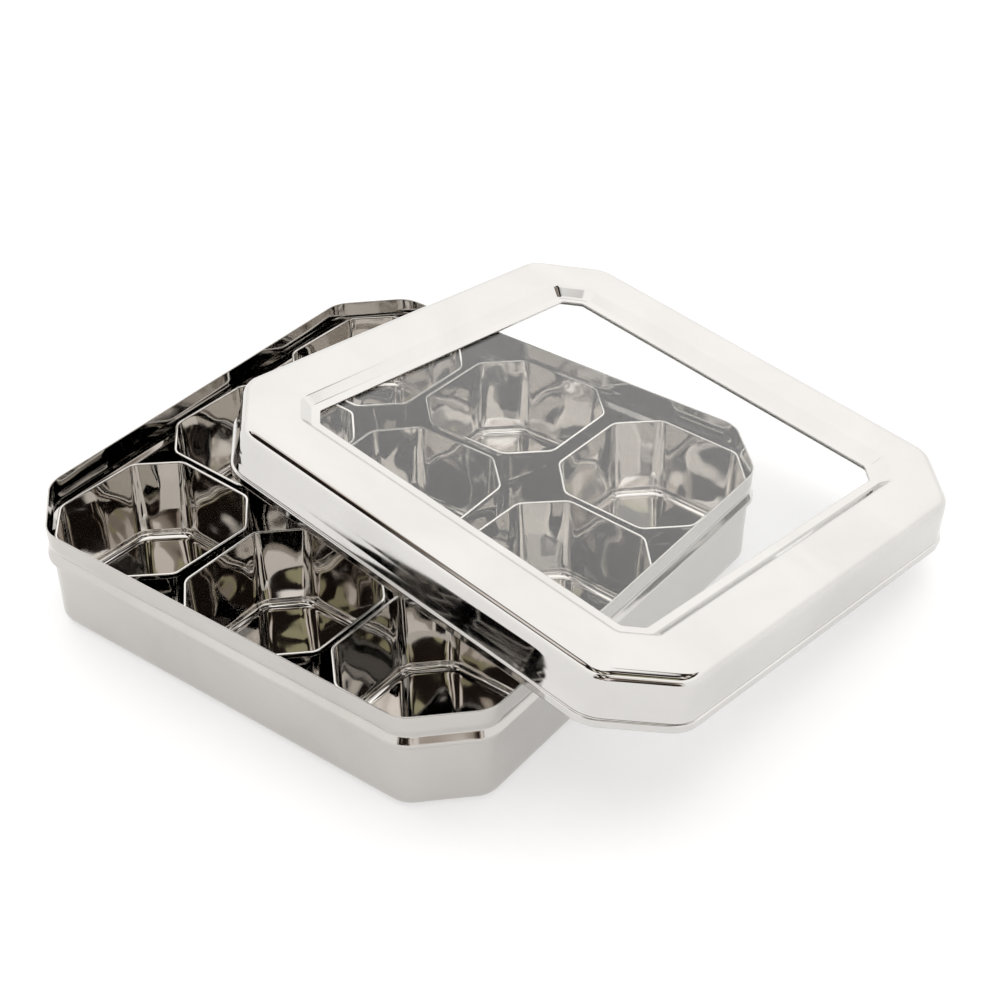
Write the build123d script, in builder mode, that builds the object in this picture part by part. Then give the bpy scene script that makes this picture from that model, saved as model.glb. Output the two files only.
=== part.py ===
from build123d import *
from math import radians, sin
import os

# Masala dabba: a clipped-square steel box with nine loose cups, and a loose lid with a clear window.
# Millimetres, +Z up. The origin is the middle of the box's flat base, on the surface it stands on.
# -Y is the front and +X the right. The lid is off, leaning across the box with its back right corner low.

BASE_OVERLAP = 0.5               # flat plates overlap the swept walls they join

# Box, one pressed sheet
BOX_WIDTH = 250.0                # across the flats at the rim
BOX_LEG = 26.5                   # clipped corner, measured along each side
BOX_CORNER_RADIUS = 15.0
BOX_HEIGHT = 50.5
BOX_SHEET = 0.6
BAND_HEIGHT = 9.0                # plain band under the rim
BAND_FLARE = 0.7                 # the band leans out this far on its way down
BEAD_STAND = 1.0                 # the rounded bead under it stands out this far
BEAD_TOP = 38.5                  # heights of the bead's straight stretch
BEAD_BOTTOM = 34.2
STEP_HEIGHT = 33.6               # under the bead the wall steps in
STEP_INSET = 1.4
BASE_INSET = 1.9                 # inset where the wall meets the base radius
BASE_RADIUS = 3.5
BASE_REACH = 8.0                 # the swept wall includes this much of the base

# Cups, each one pressed sheet with its rim folded flat outward
CUP_WIDTH = 76.8                 # across the flats over the folded rim
CUP_LEG = 17.0
CUP_CORNER_RADIUS = 7.0
CUP_HEIGHT = 41.4
CUP_SHEET = 0.5
CUP_RIM_WIDTH = 1.2
CUP_RIM_HEIGHT = 2.4
CUP_RIM_ROUND = 0.5
CUP_DRAFT = 1.1                  # each wall leans in this far towards the base
CUP_BASE_RADIUS = 4.2
CUP_REACH = 6.6                  # the swept wall includes the base as far in as this
CUP_FLAT = CUP_WIDTH / 2 - (CUP_RIM_WIDTH + CUP_DRAFT - CUP_SHEET + CUP_BASE_RADIUS)   # half the flat base

# Lid frame, one pressed sheet with an outward curl round its skirt. Its heights count down from its top face
LID_WIDTH = 255.0                # across the skirt
LID_LEG = 28.5
LID_CORNER_RADIUS = 16.0
LID_SHEET = 0.5
LID_HEIGHT = 26.0
LID_EDGE_RADIUS = 3.5
LID_REACH = 9.0                  # the swept edge runs this far in before the flat plate takes over
CURL_STAND = 1.8
CURL_HEIGHT = 3.6
CURL_RADIUS = 1.1
CURL_GAP = 0.2
WINDOW_WIDTH = 184.5             # clear opening
WINDOW_LEG = 7.4
WINDOW_CORNER_RADIUS = 1.5
RECESS_DEPTH = 3.9
LEDGE_WIDTH = 4.2
SHOULDER_WIDTH = 3.4             # plan width of the ledge's sloping wall
RECESS_RADIUS = 1.2
PLATE_REACH = 13.0               # the swept recess runs this far out from the opening

# Window pane and what holds it, laps measured out from the opening
PANE_LAP = 3.6
PANE_THICKNESS = 1.5
SEAL_THICKNESS = 0.4
SEAL_LAPS = (0.6, 3.0)           # inner and outer edge
RETAINER_SHEET = 0.5
RETAINER_RADIUS = 1.0
RETAINER_LAPS = (1.0, 9.0, 15.0)   # inner flange's edge, riser, outer flange's edge

# How the lid leans: the middle of its top face, then its turns about its own X, Y and Z in that order
LID_PLACE = (69.1, 55.3, 69.7)
LID_TURNS = (-6.24, 7.37, -4.0)

TILT_CLEARANCE = 0.05            # under the low edge of a cup that doesn't stand flat
# Where each loose cup's base stands on the box floor: X, Y, its turn about Z, and its tilt about X
CUP_PLACES = {
    "cup_front_left": (-78.4, -81.0, -3.0, 0),
    "cup_front_middle": (3.0, -84.2, -1.0, 0),
    "cup_front_right": (81.8, -79.8, -0.6, 0),
    "cup_middle_left": (-83.6, -1.4, -2.4, 0),
    "cup_centre": (-5.2, 8.0, 0.2, 0),
    "cup_middle_right": (82.6, 0.2, -3.6, 0),
    "cup_back_left": (-82.0, 79.6, -2.4, 0),
    "cup_back_middle": (-0.8, 83.8, -0.4, -2.4),
    "cup_back_right": (81.6, 79.8, -2.8, 0),
}


def clipped_square(width, leg, inset=0.0):
    """Corners of a clipped square, counter-clockwise, all its sides moved in by inset."""
    half = width / 2 - inset
    clipped = half - leg + inset * (2 - 2**0.5)
    return [
        (-clipped, -half), (clipped, -half), (half, -clipped), (half, clipped),
        (clipped, half), (-clipped, half), (-half, clipped), (-half, -clipped),
    ]


def section_plane(path):
    """The plane across a closed path where it starts: its X runs inward and its Y up."""
    along = path.wire() % 0
    return Plane(origin=path.wire() @ 0, x_dir=Vector(0, 0, 1).cross(along), z_dir=along)


def box_outline(inset=0.0):
    return FilletPolyline(
        *clipped_square(BOX_WIDTH, BOX_LEG, inset), radius=BOX_CORNER_RADIUS - inset, close=True
    )


def cup_outline(inset=0.0):
    return FilletPolyline(
        *clipped_square(CUP_WIDTH, CUP_LEG, inset), radius=CUP_CORNER_RADIUS - inset, close=True
    )


def lid_outline(inset=0.0):
    return FilletPolyline(
        *clipped_square(LID_WIDTH, LID_LEG, inset), radius=LID_CORNER_RADIUS - inset, close=True
    )


def window_outline(lap=0.0):
    return FilletPolyline(
        *clipped_square(WINDOW_WIDTH, WINDOW_LEG, -lap), radius=WINDOW_CORNER_RADIUS + lap, close=True
    )


# ---- Box ----
with BuildPart() as box:
    with BuildLine() as box_rim:
        box_outline()
    with BuildSketch(section_plane(box_rim)):
        with BuildLine():
            FilletPolyline(
                (0, BOX_HEIGHT),
                (-BAND_FLARE, BOX_HEIGHT - BAND_HEIGHT),
                (-BEAD_STAND, BEAD_TOP),
                (-BEAD_STAND, BEAD_BOTTOM),
                (STEP_INSET, STEP_HEIGHT),
                (BASE_INSET, 0),
                (BASE_REACH, 0),
                radius=[2.0, 2.0, 1.5, 0.7, BASE_RADIUS],
            )
            offset(amount=BOX_SHEET, side=Side.LEFT)
        make_face()
    sweep(path=box_rim.wire())
    with BuildSketch(Plane.XY):
        with BuildLine():
            box_outline(BASE_REACH - BASE_OVERLAP)
        make_face()
    extrude(amount=BOX_SHEET)
box.part.label = "box"


# ---- Cup, made once at the origin and placed nine times ----
with BuildPart() as cup:
    with BuildLine() as cup_rim:
        cup_outline()
    with BuildSketch(section_plane(cup_rim)) as cup_section:
        with BuildLine():
            inner_foot = CUP_RIM_WIDTH + CUP_DRAFT
            Polyline(
                (0, CUP_HEIGHT),
                (CUP_RIM_WIDTH, CUP_HEIGHT),
                (inner_foot, CUP_SHEET),
                (CUP_REACH, CUP_SHEET),
                (CUP_REACH, 0),
                (inner_foot - CUP_SHEET, 0),
                (CUP_RIM_WIDTH - CUP_SHEET, CUP_HEIGHT - CUP_RIM_HEIGHT),
                (0, CUP_HEIGHT - CUP_RIM_HEIGHT),
                close=True,
            )
        make_face()
        fillet(cup_section.vertices().group_by(Axis.Y)[-1], CUP_RIM_ROUND)
        outside_foot = cup_section.vertices().group_by(Axis.Y)[0].sort_by(Axis.X)[0]
        fillet(outside_foot, CUP_BASE_RADIUS)
        inside_foot = cup_section.vertices().group_by(Axis.Y)[1].sort_by(Axis.X)[0]
        fillet(inside_foot, CUP_BASE_RADIUS - CUP_SHEET)
    sweep(path=cup_rim.wire())
    with BuildSketch(Plane.XY):
        with BuildLine():
            cup_outline(CUP_REACH - BASE_OVERLAP)
        make_face()
    extrude(amount=CUP_SHEET)

placed_cups = {}
for name, (across, along, turn, tilt) in CUP_PLACES.items():
    lift = BOX_SHEET + CUP_FLAT * sin(radians(abs(tilt))) + (TILT_CLEARANCE if tilt else 0)
    placed_cups[name] = Pos(across, along, lift) * Rot(0, 0, turn) * Rot(tilt, 0, 0) * cup.part
    placed_cups[name].label = name


# ---- Lid frame, made level with its top face at zero ----
with BuildPart() as lid_frame:
    with BuildLine() as lid_edge:
        lid_outline()
    with BuildSketch(section_plane(lid_edge)):
        with BuildLine():
            FilletPolyline(
                (LID_REACH, -LID_SHEET),
                (LID_SHEET, -LID_SHEET),
                (LID_SHEET, -LID_HEIGHT),
                (-CURL_STAND, -LID_HEIGHT),
                (-CURL_STAND, CURL_HEIGHT - LID_HEIGHT),
                (-CURL_GAP, CURL_HEIGHT - LID_HEIGHT),
                radius=[LID_EDGE_RADIUS - LID_SHEET, CURL_RADIUS, CURL_RADIUS, CURL_RADIUS],
            )
            offset(amount=LID_SHEET, side=Side.RIGHT)
        make_face()
    sweep(path=lid_edge.wire())
    with BuildLine() as window_edge:
        window_outline()
    with BuildSketch(section_plane(window_edge)):
        with BuildLine():
            FilletPolyline(
                (-PLATE_REACH, 0),
                (-LEDGE_WIDTH - SHOULDER_WIDTH, 0),
                (-LEDGE_WIDTH, -RECESS_DEPTH),
                (0, -RECESS_DEPTH),
                radius=RECESS_RADIUS,
            )
            offset(amount=LID_SHEET, side=Side.RIGHT)
        make_face()
    sweep(path=window_edge.wire())
    with BuildSketch(Plane.XY.offset(-LID_SHEET)):
        with BuildLine():
            lid_outline(LID_REACH - BASE_OVERLAP)
        make_face()
        with BuildLine():
            window_outline(PLATE_REACH - BASE_OVERLAP)
        make_face(mode=Mode.SUBTRACT)
    extrude(amount=LID_SHEET)


# ---- Pane, seal and retainer, under the window's ledge ----
SEAL_TOP = -RECESS_DEPTH - LID_SHEET
PANE_TOP = SEAL_TOP - SEAL_THICKNESS
PANE_BOTTOM = PANE_TOP - PANE_THICKNESS

with BuildPart() as pane_seal:
    with BuildSketch(Plane.XY.offset(SEAL_TOP)):
        with BuildLine():
            window_outline(SEAL_LAPS[1])
        make_face()
        with BuildLine():
            window_outline(SEAL_LAPS[0])
        make_face(mode=Mode.SUBTRACT)
    extrude(amount=-SEAL_THICKNESS)

with BuildPart() as window_pane:
    with BuildSketch(Plane.XY.offset(PANE_TOP)):
        with BuildLine():
            window_outline(PANE_LAP)
        make_face()
    extrude(amount=-PANE_THICKNESS)

with BuildPart() as pane_retainer:
    with BuildLine() as retainer_edge:
        window_outline(RETAINER_LAPS[0])
    with BuildSketch(section_plane(retainer_edge)):
        with BuildLine():
            riser = RETAINER_LAPS[0] - RETAINER_LAPS[1]
            FilletPolyline(
                (0, PANE_BOTTOM),
                (riser, PANE_BOTTOM),
                (riser, -LID_SHEET),
                (RETAINER_LAPS[0] - RETAINER_LAPS[2], -LID_SHEET),
                radius=RETAINER_RADIUS,
            )
            offset(amount=RETAINER_SHEET, side=Side.LEFT)
        make_face()
    sweep(path=retainer_edge.wire())


# ---- Lean the lid on the box, and write every piece ----
lean = Pos(*LID_PLACE) * Rot(*LID_TURNS)
pieces = {
    "box": box.part,
    **placed_cups,
    "lid_frame": lean * lid_frame.part,
    "pane_seal": lean * pane_seal.part,
    "window_pane": lean * window_pane.part,
    "pane_retainer": lean * pane_retainer.part,
}
os.makedirs("parts", exist_ok=True)
for name, piece in pieces.items():
    piece.label = name
    export_step(piece, f"parts/{name}.step")
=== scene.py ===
"""Looks of the spice box: polished steel, a clear window, a white studio and the camera."""
import math

import bpy
from mathutils import Matrix, Vector, noise


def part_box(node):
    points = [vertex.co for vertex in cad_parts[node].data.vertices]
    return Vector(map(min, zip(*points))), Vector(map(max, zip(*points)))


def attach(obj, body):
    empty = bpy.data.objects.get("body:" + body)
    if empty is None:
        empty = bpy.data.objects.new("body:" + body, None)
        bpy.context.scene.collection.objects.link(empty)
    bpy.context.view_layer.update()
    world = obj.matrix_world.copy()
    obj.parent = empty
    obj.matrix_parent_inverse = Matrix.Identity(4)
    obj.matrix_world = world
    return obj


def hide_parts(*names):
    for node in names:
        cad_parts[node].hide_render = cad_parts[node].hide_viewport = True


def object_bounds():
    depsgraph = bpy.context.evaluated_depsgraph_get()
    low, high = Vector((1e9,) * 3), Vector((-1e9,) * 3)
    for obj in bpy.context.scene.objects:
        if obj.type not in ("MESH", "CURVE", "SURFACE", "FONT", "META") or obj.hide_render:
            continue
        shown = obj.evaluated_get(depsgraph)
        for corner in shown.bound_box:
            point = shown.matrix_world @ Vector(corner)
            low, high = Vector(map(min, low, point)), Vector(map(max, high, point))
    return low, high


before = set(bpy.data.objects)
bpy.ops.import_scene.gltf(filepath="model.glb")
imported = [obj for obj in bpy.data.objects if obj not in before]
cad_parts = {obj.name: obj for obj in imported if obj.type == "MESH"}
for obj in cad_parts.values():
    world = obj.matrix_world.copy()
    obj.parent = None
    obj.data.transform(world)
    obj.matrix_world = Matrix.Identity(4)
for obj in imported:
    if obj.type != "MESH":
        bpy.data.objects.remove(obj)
cad_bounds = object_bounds()

MM = 0.001
DIAGONAL = 2 - math.sqrt(2)        # how much a corner leg shortens for each millimetre of inset

# ---- Camera and table, in metres and degrees ----
AIM = Vector((0.00396, 0.06734, 0.0))
AZIMUTH, ELEVATION, DISTANCE = 36.80, 36.354, 0.9369
SENSOR, LENS = 36.0, 69.17         # millimetres
TABLE_EDGE = 0.50                  # from the aim towards the camera
TABLE_HALF = 6.0
TABLE_GAP = 0.0002                 # keeps the table's top just under the object

# ---- Shapes in millimetres. A line's points are (inset, height, corner radius) ----
BOX_WIDTH, BOX_LEG, BOX_RADIUS = 250.0, 26.5, 15.0
BOX_SHEET, BOX_HEIGHT = 0.6, 50.5
BOX_LINE = [
    (9.0, 0, 0), (1.9, 0, 5.0),                                 # base and its round edge
    (1.3, 32.8, 0.8), (-0.95, 34.6, 1.0),                       # wall and the step over it
    (-0.95, 36.4, 2.4), (0.6, 39.9, 1.2),                       # bead
    (0, 43.0, 3.0), (0, BOX_HEIGHT, 0),                         # band up to the rim
]

CUP_WIDTH, CUP_LEG, CUP_RADIUS = 76.8, 17.0, 7.0
CUP_SHEET, CUP_HEIGHT = 0.5, 41.4
CUP_CORNER_GROWTH = 0.15           # the upright corners' radius grows this much for each millimetre down
CUP_OUTER_LINE = [(6.6, 0, 0), (1.8, 0, 4.2), (0.7, 39.0, 0)]
CUP_INNER_LINE = [(1.2, CUP_HEIGHT, 0), (2.3, CUP_SHEET, 3.7), (6.6, CUP_SHEET, 0)]
CUP_RIM_LINE = [
    (0.7, 39.0, 0), (0.05, 39.0, 0.15), (0, 39.4, 0.15),        # outside, under the fold
    (0, CUP_HEIGHT, 0.5), (1.2, CUP_HEIGHT, 0.5), (1.24, 40.4, 0),  # over the top
]
CUP_RIM_FOOT = 40.3                # the inside line starts below this, where the rim's line ends
CUP_DENT_TOP = 38.5                # the wall isn't dented above this
# Each cup's turn about Z, and its tilt about X, in degrees
CUP_TURNS = {
    "cup_front_left": (-3.0, 0),
    "cup_front_middle": (-1.0, 0),
    "cup_front_right": (-0.6, 0),
    "cup_middle_left": (-2.4, 0),
    "cup_centre": (0.2, 0),
    "cup_middle_right": (-3.6, 0),
    "cup_back_left": (-2.4, 0),
    "cup_back_middle": (-0.4, -2.4),
    "cup_back_right": (-2.8, 0),
}

LID_WIDTH, LID_LEG, LID_RADIUS = 255.0, 28.5, 16.0
LID_SHEET, LID_HEIGHT = 0.5, 26.0
LID_LINE = [                       # the sheet's inside face, down from the top plate
    (9.0, -LID_SHEET, 0), (2.3, -LID_SHEET, 4.5),               # plate and its round edge
    (1.15, -7.0, 30.0), (0.6, -13.0, 60.0),                     # skirt, flared downwards
    (0.1, -17.5, 20.0), (-0.45, -21.2, 1.0),
    (-0.2, -LID_HEIGHT, 0.7), (-1.8, -LID_HEIGHT, 0.88),        # rolled edge
    (-1.8, -21.5, 0.88), (-0.9, -21.5, 0),
]
WINDOW_WIDTH, WINDOW_LEG = 184.5, 7.4
WINDOW_RADIUS, WINDOW_RADIUS_GROWTH = 2.6, 0.25
RECESS_DEPTH = 3.9
RECESS_LINE = [(0, -RECESS_DEPTH, 0), (-3.9, -RECESS_DEPTH, 1.4), (-9.0, 0, 2.6), (-13.0, 0, 0)]
LID_TURNS = (-6.24, 7.37, -4.0)    # the lid's lean in degrees, about its own X, Y and Z
PLATE_STEPS = 6                    # rows of faces across the lid's plate
PLATE_DENT = 0.35                  # the plate is dented this much of what the skirt is
EVEN_LOOPS = 3                     # the ledge's first loops, round the window, aren't dented
SKIRT_DENT_FOOT = 5.0              # nor is the skirt up to this height, where the rolled edge is


class Outline:
    """A clipped square with rounded corners, seen from above."""

    def __init__(self, width, leg, radius, side_steps, clip_steps, corner_steps):
        self.width, self.leg, self.radius = width, leg, radius
        self.side_steps, self.clip_steps, self.corner_steps = side_steps, clip_steps, corner_steps

    def loop(self, inset, height, radius=None):
        """Points round the outline moved in by inset, counter-clockwise. Every loop has as many."""
        half = self.width / 2 - inset
        straight = half - self.leg + DIAGONAL * inset
        radius = self.radius - inset if radius is None else radius
        corners = [Vector(p) for p in (
            (-straight, -half), (straight, -half), (half, -straight), (half, straight),
            (straight, half), (-straight, half), (-half, straight), (-half, -straight),
        )]
        tangent = radius * math.tan(math.pi / 8)
        points = []
        for i in range(8):
            start, end, after = corners[i], corners[(i + 1) % 8], corners[(i + 2) % 8]
            along, onward = (end - start).normalized(), (after - end).normalized()
            first, last = start + along * tangent, end - along * tangent
            steps = self.clip_steps if i % 2 else self.side_steps
            points += [first.lerp(last, k / steps) for k in range(steps + 1)]
            inward = Vector((-along.y, along.x))
            for k in range(1, self.corner_steps):
                turn = math.pi / 4 * k / self.corner_steps
                points.append(last + (along * math.sin(turn) + inward * (1 - math.cos(turn))) * radius)
        return [Vector((p.x, p.y, height)) for p in points]


def profile(line, run, arc_steps=5, guard=0.35):
    """A section's line as (point, left normal) pairs, with rounded corners. Straight runs are divided so that
    they can be dented, with a guard point beside each arc that keeps the shading of the flats flat."""
    corners = [Vector(point[:2]) for point in line]
    path = []
    start = corners[0]
    for i in range(1, len(corners)):
        along = (corners[i] - corners[i - 1]).normalized()
        normal = Vector((-along.y, along.x))
        radius = line[i][2]
        end = corners[i]
        if radius:
            onward = (corners[i + 1] - corners[i]).normalized()
            turn = along.angle_signed(onward)          # clockwise is positive
            end = corners[i] - along * radius * math.tan(abs(turn) / 2)
        length = (end - start).length
        marks = [0.0, guard, length - guard, length] if length > 3 * guard else [0.0, length]
        count = max(1, math.ceil((length - 2 * guard) / run))
        marks += [guard + (length - 2 * guard) * k / count for k in range(1, count)]
        path += [(start + along * mark, normal) for mark in sorted(marks)]
        if radius:
            side = -normal if turn > 0 else normal     # towards the arc's centre
            centre = end + side * radius
            for k in range(1, arc_steps):
                spin = Matrix.Rotation(-turn * k / arc_steps, 2)
                path.append((centre + spin @ (-side * radius), spin @ normal))
            start = centre + Matrix.Rotation(-turn, 2) @ (-side * radius)
    return path


def moved(path, distance):
    """The line moved to its left, or to its right where distance is negative, without its normals."""
    return [point + normal * distance for point, normal in path]


def fade(distance, over):
    """A dent's weight, which rises from 0 to 1 over a stretch."""
    return min(1.0, max(0.0, distance) / over)


def flat_loops(loop, steps):
    """Loops that shrink towards the middle of a flat plate."""
    return [[Vector((p.x * k / steps, p.y * k / steps, p.z)) for p in loop] for k in range(1, steps)]


def between(first, last, steps):
    """The loops between two others, evenly spaced."""
    return [[a.lerp(b, k / steps) for a, b in zip(first, last)] for k in range(1, steps)]


def skin(name, loops, closed_section):
    """One closed mesh through a list of loops, in metres."""
    count = len(loops[0])
    points = [p * MM for loop in loops for p in loop]
    faces = []
    spans = [(i, i + 1) for i in range(len(loops) - 1)]
    if closed_section:
        spans.append((len(loops) - 1, 0))
    for a, b in spans:
        for k in range(count):
            n = (k + 1) % count
            faces.append((a * count + k, a * count + n, b * count + n, b * count + k))
    if not closed_section:
        faces.append(tuple(reversed(range(count))))
        faces.append(tuple((len(loops) - 1) * count + k for k in range(count)))
    data = bpy.data.meshes.new(name)
    data.from_pydata(points, [], faces)
    data.update()
    for face in data.polygons:
        face.use_smooth = True
    return data


def place(data, turn, node):
    """Turns the mesh, then centres it on its CAD node."""
    data.transform(turn.to_4x4())
    low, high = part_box(node)
    own_low = Vector(min(v.co[i] for v in data.vertices) for i in range(3))
    own_high = Vector(max(v.co[i] for v in data.vertices) for i in range(3))
    data.transform(Matrix.Translation((low + high - own_low - own_high) / 2))


def dent(data, weights, depth, size):
    """Presses broad shallow waves into the sheet. Weights, one for each loop, are negative on the sheet's
    inside face, so that both faces move together."""
    count = len(data.vertices) // len(weights)
    normals = [v.normal.copy() for v in data.vertices]
    for v, normal in zip(data.vertices, normals):
        weight = weights[v.index // count]
        if weight:
            at = v.co / size
            wave = noise.noise(at) + 0.4 * noise.noise(at * 2.3 + Vector((7.1, 3.3, 1.7)))
            v.co += normal * (weight * depth * (wave - 0.3))
    data.update()


def finish_piece(data, material, body, node):
    """Makes the mesh an object that rides on its body and stands for its CAD node."""
    piece = bpy.data.objects.new(data.name, data)
    bpy.context.scene.collection.objects.link(piece)
    data.materials.append(material)
    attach(piece, body)
    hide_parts(node)
    return piece


# ---- Node helpers ----
def new_material(name):
    material = bpy.data.materials.new(name)
    material.use_nodes = True
    tree = material.node_tree
    tree.nodes.clear()
    return material, tree


def add(tree, kind, links=None, **values):
    """A node with its properties or input sockets set, and its inputs linked."""
    made = tree.nodes.new(kind)
    for key, value in values.items():
        if hasattr(made, key):
            setattr(made, key, value)
        else:
            made.inputs[key.replace("_", " ")].default_value = value
    for key, source in (links or {}).items():
        tree.links.new(source, made.inputs[key])
    return made


def noise_at(tree, coordinates, scale, detail=3.0, stretch=(1, 1, 1), distortion=0.0):
    """A noise texture, with features about 1/scale metres across."""
    mapping = add(tree, "ShaderNodeMapping", {"Vector": coordinates}, Scale=stretch)
    made = add(
        tree, "ShaderNodeTexNoise", {"Vector": mapping.outputs[0]},
        Scale=scale, Detail=detail, Distortion=distortion,
    )
    return made.outputs["Fac"]


def ramp(tree, source, low, high, from_low=0.3, from_high=0.7):
    made = add(tree, "ShaderNodeMapRange", {"Value": source}, clamp=True)
    for key, value in (("From Min", from_low), ("From Max", from_high), ("To Min", low), ("To Max", high)):
        made.inputs[key].default_value = value
    return made.outputs[0]


def mix_colour(tree, factor, first, second):
    made = tree.nodes.new("ShaderNodeMix")
    made.data_type = "RGBA"
    tree.links.new(factor, made.inputs["Factor"])
    made.inputs[6].default_value = (*first, 1)
    made.inputs[7].default_value = (*second, 1)
    return made.outputs[2]


def steel(name, dark, light, rough, wave_height, wave_scale, grain_height, grain_stretch=(1, 1, 1)):
    """Polished stainless sheet: faint cloudiness, wiped smudges, gentle pressing waves and a fine grain."""
    material, tree = new_material(name)
    at = add(tree, "ShaderNodeTexCoord").outputs["Object"]
    clouds = noise_at(tree, at, 22, detail=4, distortion=0.6)
    smudges = noise_at(tree, at, 70, detail=5, stretch=(1, 0.55, 1), distortion=1.2)
    waves = noise_at(tree, at, wave_scale, detail=0.6, distortion=0.3)
    grain = noise_at(tree, at, 1400, detail=2, stretch=grain_stretch)
    rough_here = add(
        tree, "ShaderNodeMath",
        {
            0: ramp(tree, clouds, rough[0], rough[1]),
            1: ramp(tree, smudges, 0.0, rough[1] - rough[0], 0.5, 0.75),
        },
        operation="ADD",
    )
    broad = add(tree, "ShaderNodeBump", {"Height": waves}, Strength=1.0, Distance=wave_height)
    fine = add(
        tree, "ShaderNodeBump", {"Height": grain, "Normal": broad.outputs[0]},
        Strength=1.0, Distance=grain_height,
    )
    shader = add(
        tree, "ShaderNodeBsdfPrincipled",
        {
            "Base Color": mix_colour(tree, ramp(tree, clouds, 0, 1), dark, light),
            "Roughness": rough_here.outputs[0],
            "Normal": fine.outputs[0],
        },
        Metallic=1.0,
    )
    add(tree, "ShaderNodeOutputMaterial", {"Surface": shader.outputs[0]})
    return material


def clear_pane(name):
    """Clear sheet with faint wiping marks. Lamp light passes straight through it."""
    material, tree = new_material(name)
    at = add(tree, "ShaderNodeTexCoord").outputs["Object"]
    wiped = noise_at(tree, at, 30, detail=4, stretch=(1, 0.5, 1), distortion=0.8)
    sag = noise_at(tree, at, 9, detail=0)
    bump = add(tree, "ShaderNodeBump", {"Height": sag}, Strength=1.0, Distance=0.0004)
    glass = add(
        tree, "ShaderNodeBsdfPrincipled",
        {"Roughness": ramp(tree, wiped, 0.0, 0.012, 0.45, 0.8), "Normal": bump.outputs[0]},
        IOR=1.49,
    )
    glass.inputs["Base Color"].default_value = (0.985, 0.99, 0.985, 1)
    glass.inputs["Transmission Weight"].default_value = 1.0
    through = add(tree, "ShaderNodeBsdfTransparent")
    rays = add(tree, "ShaderNodeLightPath")
    mixed = add(
        tree, "ShaderNodeMixShader",
        {0: rays.outputs["Is Shadow Ray"], 1: glass.outputs[0], 2: through.outputs[0]},
    )
    add(tree, "ShaderNodeOutputMaterial", {"Surface": mixed.outputs[0]})
    return material


def rubber(name):
    material, tree = new_material(name)
    at = add(tree, "ShaderNodeTexCoord").outputs["Object"]
    fine = noise_at(tree, at, 900, detail=3)
    bump = add(tree, "ShaderNodeBump", {"Height": fine}, Strength=0.5, Distance=0.00005)
    shader = add(
        tree, "ShaderNodeBsdfPrincipled",
        {
            "Base Color": mix_colour(tree, fine, (0.55, 0.55, 0.53), (0.68, 0.68, 0.66)),
            "Roughness": ramp(tree, fine, 0.45, 0.65),
            "Normal": bump.outputs[0],
        },
    )
    add(tree, "ShaderNodeOutputMaterial", {"Surface": shader.outputs[0]})
    return material


# ---- Materials ----
# name, dark and light tint, roughness range, wave height and scale, grain height
# The box's steel is a darker copy of the lid's and cups' steel: its lower tint is painted shade, standing in
# for the shaded floor that its walls mirror
box_steel = steel("box_steel", (0.51, 0.495, 0.473), (0.555, 0.54, 0.52), (0.04, 0.09), 0.0005, 26, 8e-7)
cup_steel = steel("cup_steel", (0.63, 0.61, 0.585), (0.69, 0.67, 0.645), (0.02, 0.05), 0.0006, 17, 4e-7)
lid_steel = steel("lid_steel", (0.585, 0.575, 0.56), (0.63, 0.62, 0.605), (0.03, 0.07), 0.00012, 20, 6e-7)
brushed = steel(
    "retainer_steel", (0.60, 0.59, 0.57), (0.68, 0.67, 0.65), (0.2, 0.3), 0.0003, 26, 1e-5, (1, 0.04, 1)
)

# ---- Box ----
def box_weight(point):
    """The wall's dents fade out towards the rim and towards the round edge of the base."""
    return fade(BOX_HEIGHT - point.y, 10) * fade(point.y - 3, 12)


outline = Outline(BOX_WIDTH, BOX_LEG, BOX_RADIUS, side_steps=72, clip_steps=12, corner_steps=7)
outer = profile(BOX_LINE, run=3.0)
outside = moved(outer, 0)
inside = list(reversed(moved(outer, -BOX_SHEET)))
loops = [outline.loop(p.x, p.y) for p in outside + inside]
weights = [box_weight(p) for p in outside] + [-box_weight(p) for p in inside]
under, floor_in = flat_loops(loops[0], 8), list(reversed(flat_loops(loops[-1], 8)))
loops = under + loops + floor_in
weights = [0.0] * len(under) + weights + [0.0] * len(floor_in)
data = skin("box_shell", loops, closed_section=False)
place(data, Matrix.Identity(3), "box")
dent(data, weights, depth=0.28 * MM, size=34 * MM)
finish_piece(data, box_steel, "box", "box")

# ---- Cups ----
def cup_weight(point):
    """The wall's dents fade out towards the folded rim and towards the base."""
    return fade(CUP_DENT_TOP - point.y, 9) * fade(point.y, 9)


cup_outline = Outline(CUP_WIDTH, CUP_LEG, CUP_RADIUS, side_steps=20, clip_steps=8, corner_steps=5)
cup_outer = moved(profile(CUP_OUTER_LINE, run=3.0), 0)
cup_rim = moved(profile(CUP_RIM_LINE, run=1.0, guard=0.12), 0)[1:-1]
cup_inner = [p for p in moved(profile(CUP_INNER_LINE, run=3.0), 0) if p.y < CUP_RIM_FOOT]
for name, (turn, tilt) in CUP_TURNS.items():
    path = cup_outer + cup_rim + cup_inner
    radii = [CUP_RADIUS - p.x + CUP_CORNER_GROWTH * (CUP_HEIGHT - p.y) for p in path]
    loops = [cup_outline.loop(p.x, p.y, radius) for p, radius in zip(path, radii)]
    weights = [cup_weight(p) if i < len(cup_outer) else -cup_weight(p) for i, p in enumerate(path)]
    under, floor_in = flat_loops(loops[0], 6), list(reversed(flat_loops(loops[-1], 6)))
    loops = under + loops + floor_in
    weights = [0.0] * len(under) + weights + [0.0] * len(floor_in)
    data = skin(name.replace("cup_", "spice_cup_"), loops, closed_section=False)
    turned, tilted = Matrix.Rotation(math.radians(turn), 3, "Z"), Matrix.Rotation(math.radians(tilt), 3, "X")
    place(data, turned @ tilted, name)
    dent(data, weights, depth=0.45 * MM, size=28 * MM)
    finish_piece(data, cup_steel, name, name)

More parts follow.
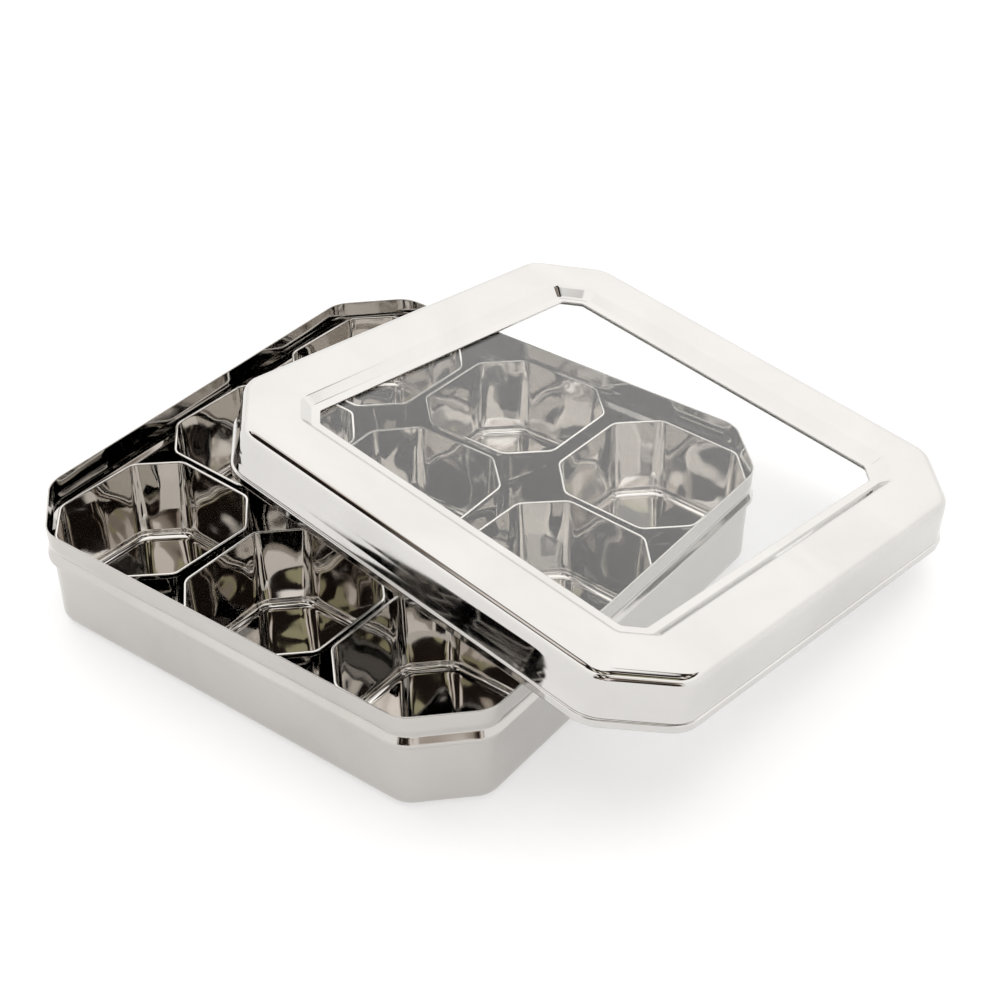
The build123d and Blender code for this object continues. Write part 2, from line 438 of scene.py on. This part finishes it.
# ---- Lid frame ----
lid_outline = Outline(LID_WIDTH, LID_LEG, LID_RADIUS, side_steps=72, clip_steps=12, corner_steps=7)
window_outline = Outline(
    WINDOW_WIDTH, WINDOW_LEG, WINDOW_RADIUS, side_steps=72, clip_steps=12, corner_steps=7
)
edge = profile(LID_LINE, run=2.6, guard=0.25)
recess = profile(RECESS_LINE, run=2.0)


def window_loop(point):
    """A loop of the recess. Its corners stay tight all the way up."""
    return window_outline.loop(point.x, point.y, radius=WINDOW_RADIUS - point.x * WINDOW_RADIUS_GROWTH)


top_window = [window_loop(p) for p in moved(recess, 0)]
top_edge = [lid_outline.loop(p.x, p.y) for p in moved(edge, -LID_SHEET)]
under_window = [window_loop(p) for p in moved(recess, LID_SHEET)]
under_edge = [lid_outline.loop(p.x, p.y) for p in moved(edge, 0)]
top = top_window + between(top_window[-1], top_edge[0], PLATE_STEPS) + top_edge
under = under_window + between(under_window[-1], under_edge[0], PLATE_STEPS) + under_edge
weights = [0.0] * EVEN_LOOPS + [PLATE_DENT] * (len(top) - len(top_edge) - EVEN_LOOPS)
weights += [fade(p.y + LID_HEIGHT - SKIRT_DENT_FOOT, 6) for p in moved(edge, 0)]
weights += [-w for w in reversed(weights)]
data = skin("lid_pressing", top + list(reversed(under)), closed_section=True)
lean = [Matrix.Rotation(math.radians(turn), 3, axis) for turn, axis in zip(LID_TURNS, "XYZ")]
place(data, lean[0] @ lean[1] @ lean[2], "lid_frame")
dent(data, weights, depth=0.06 * MM, size=45 * MM)
finish_piece(data, lid_steel, "lid", "lid_frame")

# ---- CAD pieces that are shown as they are ----
for node, material, slot in (
    ("window_pane", clear_pane("clear_pane"), "pane_glass"),
    ("pane_seal", rubber("seal_rubber"), "seal_rubber"),
    ("pane_retainer", brushed, "retainer_steel"),
):
    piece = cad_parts[node]
    piece.data.materials.clear()
    piece.data.materials.append(material)

# ---- Floor: steel doesn't mirror the part beyond the table's edge, where the dim room shows instead ----
floor_material, tree = new_material("floor_paint")
speckle = noise_at(tree, add(tree, "ShaderNodeTexCoord").outputs["Object"], 4, detail=2)
paint = add(
    tree, "ShaderNodeBsdfPrincipled",
    {"Base Color": mix_colour(tree, speckle, (0.60, 0.60, 0.605), (0.62, 0.62, 0.625))},
    Roughness=0.6,
)
paint.inputs["Emission Color"].default_value = (1.0, 1.0, 1.0, 1)
paint.inputs["Emission Strength"].default_value = 0.45
add(tree, "ShaderNodeOutputMaterial", {"Surface": paint.outputs[0]})
azimuth, elevation = math.radians(AZIMUTH), math.radians(ELEVATION)
toward = Vector((math.sin(azimuth), -math.cos(azimuth), 0))
across = Vector((-toward.y, toward.x, 0))
for name, near, far, mirrored in (
    ("studio_floor", -TABLE_HALF, TABLE_EDGE, True),
    ("studio_floor_front", TABLE_EDGE, TABLE_HALF, False),
):
    sides = ((near, -TABLE_HALF), (far, -TABLE_HALF), (far, TABLE_HALF), (near, TABLE_HALF))
    corners = [AIM + toward * a + across * b for a, b in sides]
    floor_data = bpy.data.meshes.new(name)
    floor_data.from_pydata([(p.x, p.y, cad_bounds[0].z - TABLE_GAP) for p in corners], [], [(0, 1, 2, 3)])
    floor_data.materials.append(floor_material)
    floor = bpy.data.objects.new(name, floor_data)
    floor.visible_glossy = mirrored
    bpy.context.scene.collection.objects.link(floor)

# ---- World: a white studio all round. On the camera's side there is a dim room from 33 to 65 degrees up, and
# straight behind the camera it reaches down to the table ----
WHITE_LOW, WHITE_HIGH = (1.24, 1.225, 1.205), (1.45, 1.43, 1.405)
GREEN = (0.50, 0.48, 0.31, 1)
ROOM_COLOURS = (                   # along the pattern's value, from dark furniture to pale curtains
    (0.465, (0.020, 0.014, 0.011, 1)),
    (0.482, (0.070, 0.045, 0.033, 1)),
    (0.490, (0.36, 0.305, 0.255, 1)),
    (0.532, (0.52, 0.45, 0.385, 1)),
    (0.540, (1.05, 0.98, 0.93, 1)),
)


def facing(tree, direction, axis):
    """How far a direction points along a level axis, from -1 to 1."""
    made = add(tree, "ShaderNodeVectorMath", {0: direction}, operation="DOT_PRODUCT")
    made.inputs[1].default_value = axis
    return made.outputs["Value"]


def combined(tree, operation, first, second=None):
    """A maths node's output, from one or two others."""
    links = {0: first} if second is None else {0: first, 1: second}
    return add(tree, "ShaderNodeMath", links, operation=operation).outputs[0]


world = bpy.data.worlds.new("studio")
bpy.context.scene.world = world
world.use_nodes = True
tree = world.node_tree
tree.nodes.clear()
direction = add(tree, "ShaderNodeTexCoord").outputs["Generated"]
height = add(tree, "ShaderNodeSeparateXYZ", {0: direction}).outputs["Z"]
side = facing(tree, direction, (0.6, -0.8, 0.0))
sideways = combined(tree, "ABSOLUTE", facing(tree, direction, (0.6, 0.8, 0.0)))

# Where the room is: on the camera's side, above the table's glow, below the white ceiling
toward_room = ramp(tree, side, 0, 1, -0.31, -0.25)
below_top = ramp(tree, height, 1, 0, 0.89, 0.92)
above_floor = ramp(tree, height, 0, 1, 0.55, 0.57)
near_camera = ramp(tree, side, 0, 1, 0.84, 0.88)
room = combined(tree, "MULTIPLY", toward_room, below_top)
room = combined(tree, "MULTIPLY", room, combined(tree, "MAXIMUM", above_floor, near_camera))

# What is in it: patches of colour, darker to the left and right, with some green behind the camera
patches = add(tree, "ShaderNodeTexNoise", {"Vector": direction}, Scale=3.8, Detail=1.2, Distortion=0.5)
darker = ramp(tree, sideways, 0.0, 0.065, 0.5, 0.75)
shade = combined(tree, "SUBTRACT", patches.outputs["Fac"], darker)
patch_colour = add(tree, "ShaderNodeValToRGB", {"Fac": shade})
stops = patch_colour.color_ramp
stops.elements[0].position, stops.elements[0].color = 0.0, (0.012, 0.010, 0.008, 1)
stops.elements[1].position, stops.elements[1].color = 1.0, (1.05, 0.98, 0.93, 1)
for position, colour in ROOM_COLOURS:
    stop = stops.elements.new(position)
    stop.color = colour
plants = add(tree, "ShaderNodeTexNoise", {"Vector": direction}, Scale=7.0, Detail=1.0, Distortion=0.3)
green = combined(
    tree, "MULTIPLY", ramp(tree, plants.outputs["Fac"], 0, 1, 0.56, 0.565), ramp(tree, side, 0, 1, 0.60, 0.62)
)
green = combined(tree, "MULTIPLY", green, above_floor)
room_colour = add(tree, "ShaderNodeMix", {"Factor": green, 6: patch_colour.outputs[0]}, data_type="RGBA")
room_colour.inputs[7].default_value = GREEN

studio = add(tree, "ShaderNodeMix", {"Factor": room}, data_type="RGBA")
white = mix_colour(tree, ramp(tree, height, 0, 1, 0.15, 0.45), WHITE_LOW, WHITE_HIGH)
tree.links.new(white, studio.inputs[6])
tree.links.new(room_colour.outputs[2], studio.inputs[7])
background = add(tree, "ShaderNodeBackground", {"Color": studio.outputs[2]}, Strength=1.0)
add(tree, "ShaderNodeOutputWorld", {"Surface": background.outputs[0]})


# ---- Lamps: they light the table and don't show in the steel, which mirrors the studio ----
for name, location, size, power in (
    ("key_left", (-1.5, -0.3, 1.7), (1.8, 1.8), 5),
    ("top_back", (0.4, 1.2, 2.0), (2.0, 1.6), 4),
    ("fill_right", (1.8, -0.9, 1.7), (2.6, 2.6), 8),
):
    lamp = bpy.data.lights.new(name, "AREA")
    lamp.shape = "RECTANGLE"
    lamp.size, lamp.size_y = size
    lamp.energy = power
    soft_box = bpy.data.objects.new(name, lamp)
    soft_box.location = location
    soft_box.rotation_euler = Vector(location).to_track_quat("Z", "Y").to_euler()
    soft_box.visible_glossy = False
    bpy.context.scene.collection.objects.link(soft_box)

# ---- Camera ----
lens = bpy.data.cameras.new("camera")
lens.sensor_width = SENSOR
lens.lens = LENS
lens.clip_start, lens.clip_end = 0.01, 50
camera = bpy.data.objects.new("camera", lens)
backward = toward * math.cos(elevation) + Vector((0, 0, math.sin(elevation)))
camera.location = AIM + backward * DISTANCE
camera.rotation_euler = (-backward).to_track_quat("-Z", "Y").to_euler()
bpy.context.scene.collection.objects.link(camera)
bpy.context.scene.camera = camera
bpy.context.scene.view_settings.view_transform = "Standard"
